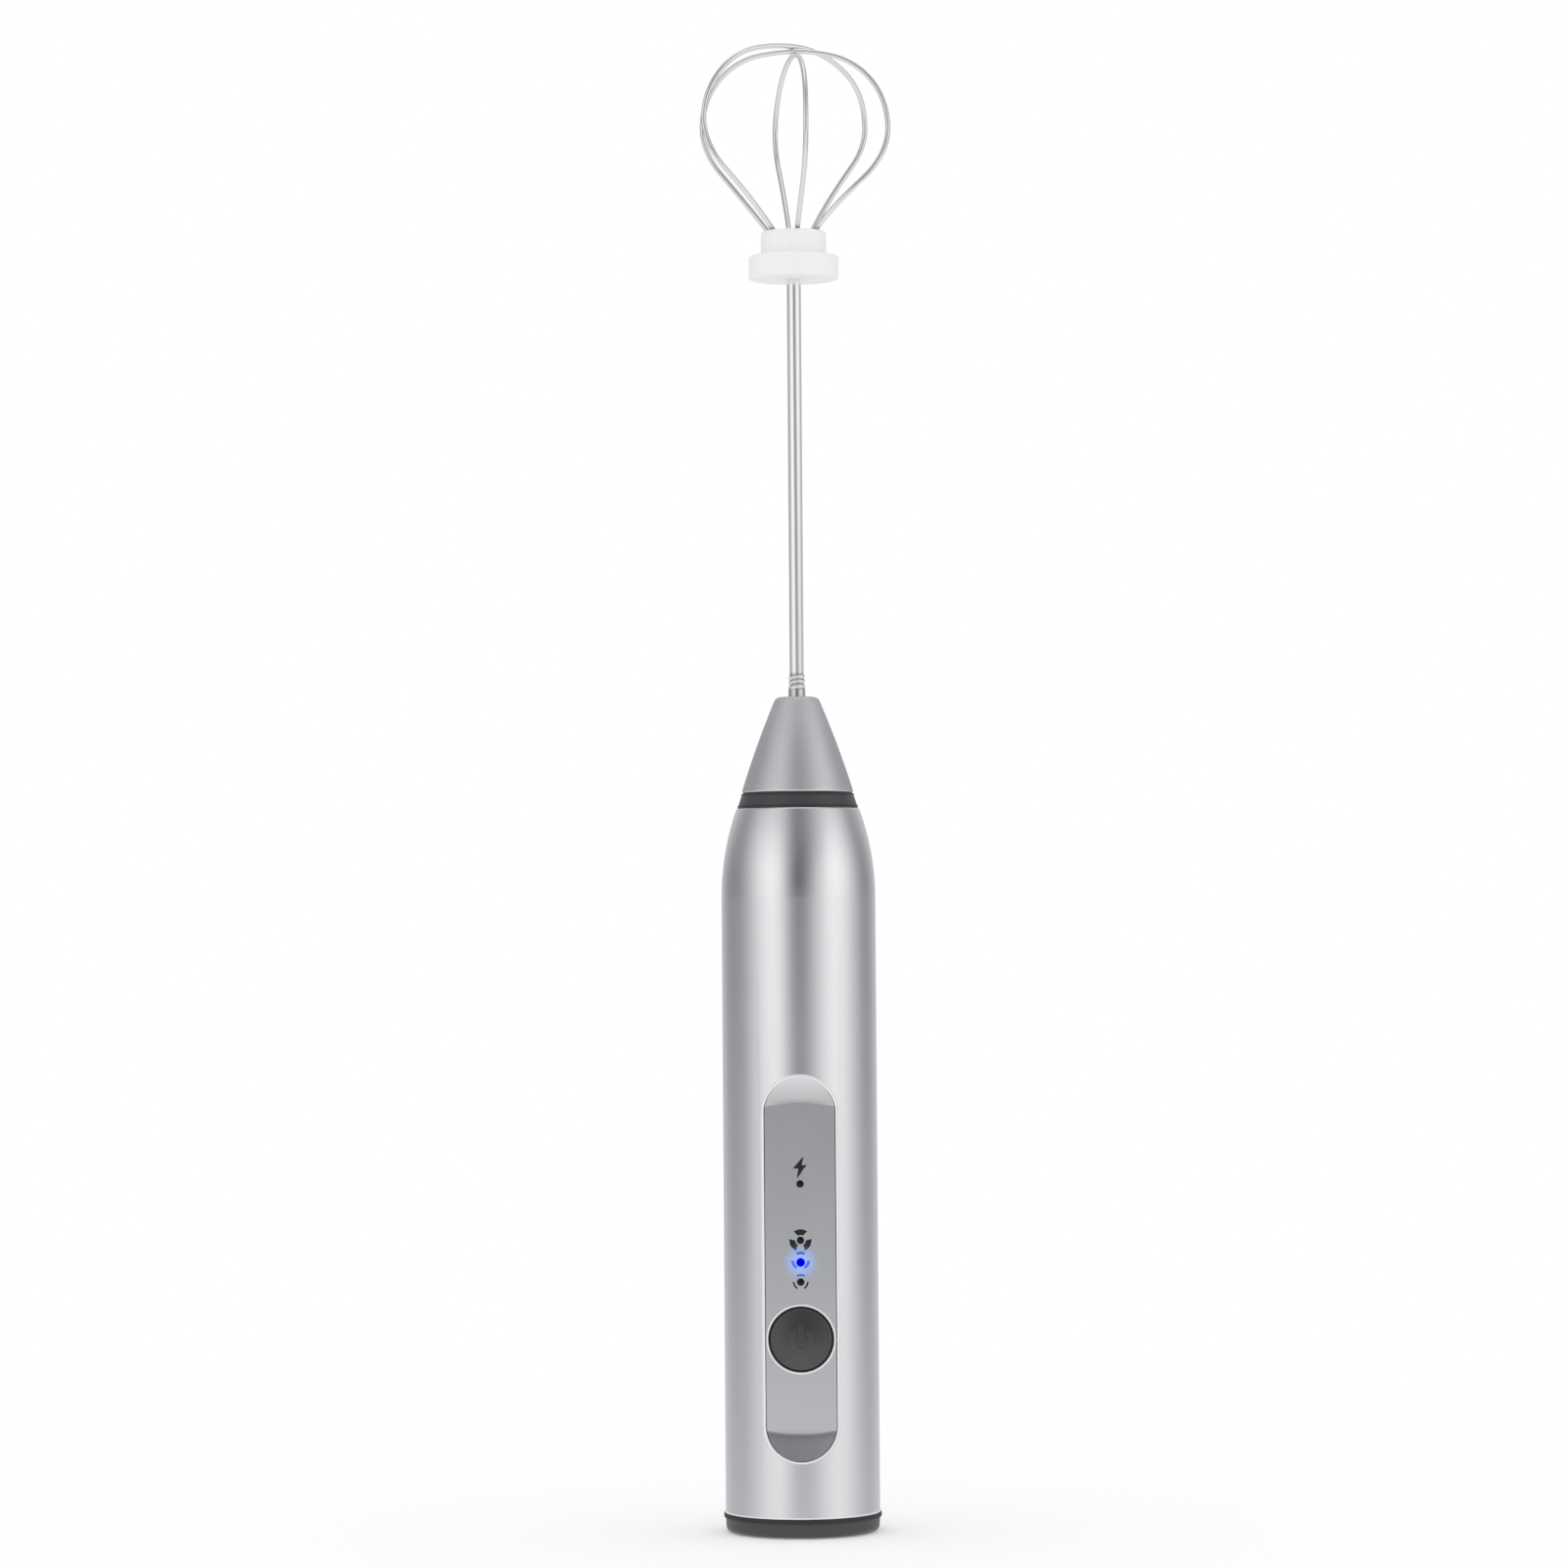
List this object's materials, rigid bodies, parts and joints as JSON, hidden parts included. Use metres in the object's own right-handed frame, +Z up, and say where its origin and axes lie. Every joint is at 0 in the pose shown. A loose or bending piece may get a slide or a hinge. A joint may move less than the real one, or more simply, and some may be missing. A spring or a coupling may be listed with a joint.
{
  "type": "milk frother",
  "caption": "Slim rechargeable hand frother: round silver handle with a control panel and button, a long thin stem and a wire balloon whisk that the motor spins.",
  "frame": {"origin": "centre of the base cap's underside, where the handle stands", "axes": "+Z up along the handle and the whisk's axis, -Y out of the control panel, +X to its right"},
  "size_m": [0.033, 0.0344, 0.2608],
  "materials": {
    "silver_shell": "satin silver coating",
    "silver_nose": "satin silver coating",
    "grey_panel": "satin grey coating",
    "black_plastic": "fine satin",
    "dark_lens": "polished, unlit",
    "lit_lens": "polished, lit blue",
    "bright_steel": "polished stainless",
    "white_plastic": "milky, slightly translucent",
    "socket_metal": "bright nickel",
    "inner_plastic": "as moulded",
    "board": "solder resist",
    "chip": "moulded",
    "led_body": "moulded",
    "screw_steel": "zinc plated",
    "cell_wrap": "shrink wrap",
    "nickel": "nickel strip",
    "motor_steel": "zinc plated",
    "motor_plastic": "as moulded",
    "bronze": "sintered, oiled",
    "magnet": "sintered ferrite",
    "copper": "enamelled or bare copper",
    "core_iron": "stacked sheet",
    "brass": "turned",
    "red_lead": "insulated wire",
    "black_lead": "insulated wire",
    "seal_rubber": "smooth"
  },
  "bodies": {
    "handle": {"body_shell": "silver_shell", "nose_cone": "silver_nose", "trim_ring": "black_plastic", "base_cap": "black_plastic", "control_panel": "grey_panel", "charge_lens": "dark_lens", "speed_lens_high": "dark_lens", "speed_lens_medium": "lit_lens", "speed_lens_low": "dark_lens", "charge_socket": "socket_metal", "charge_tongue": "chip", "chassis": "inner_plastic", "circuit_board": "board", "board_screws": "screw_steel", "indicator_leds": "led_body", "board_chips": "chip", "switch_body": "chip", "battery_cell": "cell_wrap", "battery_tab_top": "nickel", "battery_tab_bottom": "nickel", "motor_mount": "inner_plastic", "mount_screws": "screw_steel", "motor_can": "motor_steel", "motor_end_cap": "motor_plastic", "motor_bearing_front": "bronze", "motor_bearing_rear": "bronze", "motor_magnets": "magnet", "motor_brushes": "copper", "motor_terminals": "brass", "motor_lead_left": "black_lead", "motor_lead_right": "red_lead", "nose_bush": "bronze", "shaft_seal": "seal_rubber"},
    "drive": {"motor_shaft": "motor_steel", "armature_core": "core_iron", "armature_coils": "copper", "commutator": "copper", "drive_socket": "brass"},
    "whisk": {"whisk_stem": "bright_steel", "whisk_hub": "white_plastic", "whisk_loop_1": "bright_steel", "whisk_loop_2": "bright_steel", "whisk_loop_3": "bright_steel"},
    "button": {"power_button": "black_plastic", "switch_plunger": "chip"}
  },
  "joints": [
    {"name": "whisk_spin", "type": "hinge", "parent": "handle", "child": "drive", "pos_m": [0, 0, 0.13], "axis": [0, 0, 1], "continuous": true},
    {"name": "whisk_pull", "type": "slide", "parent": "drive", "child": "whisk", "axis": [0, 0, 1], "range_m": [0, 0.02]},
    {"name": "button_press", "type": "slide", "parent": "handle", "child": "button", "axis": [0, 1, 0], "range_m": [0, 0.0005], "stiffness_N_per_m": 2500, "springref_m": -0.0002}
  ]
}
